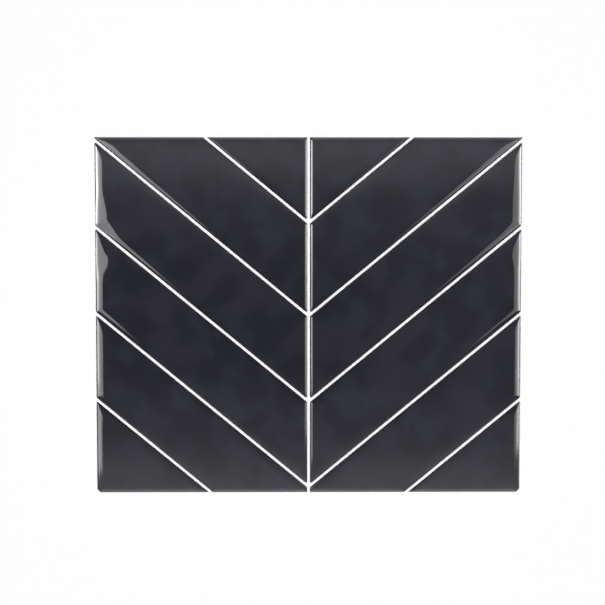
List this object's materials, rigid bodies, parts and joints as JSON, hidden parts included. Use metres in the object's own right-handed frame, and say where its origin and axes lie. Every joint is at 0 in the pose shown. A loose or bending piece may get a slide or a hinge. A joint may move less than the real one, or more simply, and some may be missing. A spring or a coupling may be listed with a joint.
{
  "type": "self-adhesive chevron tile panel",
  "caption": "Thin peel-and-stick wall panel: glossy dark resin tiles in a chevron, divided by white joints, on an adhesive film with a release liner on the back.",
  "frame": {"origin": "under the middle of the panel, on the release liner's back face", "axes": "+X along the panel's width, +Y towards the edge that is uppermost on the wall, +Z out of the tiles' faces"},
  "size_m": [0.2956, 0.2456, 0.0019],
  "materials": {
    "resin": "glossy poured resin, near-black with a faint cool mottling",
    "film": "satin white printed film",
    "liner": "smooth release paper"
  },
  "bodies": {
    "root": {"release_liner": "liner", "carrier_film": "film", "left_tile_1": "resin", "left_tile_2": "resin", "left_tile_3": "resin", "left_tile_4": "resin", "left_tile_5": "resin", "left_tile_6": "resin", "right_tile_1": "resin", "right_tile_2": "resin", "right_tile_3": "resin", "right_tile_4": "resin", "right_tile_5": "resin", "right_tile_6": "resin"}
  },
  "joints": []
}
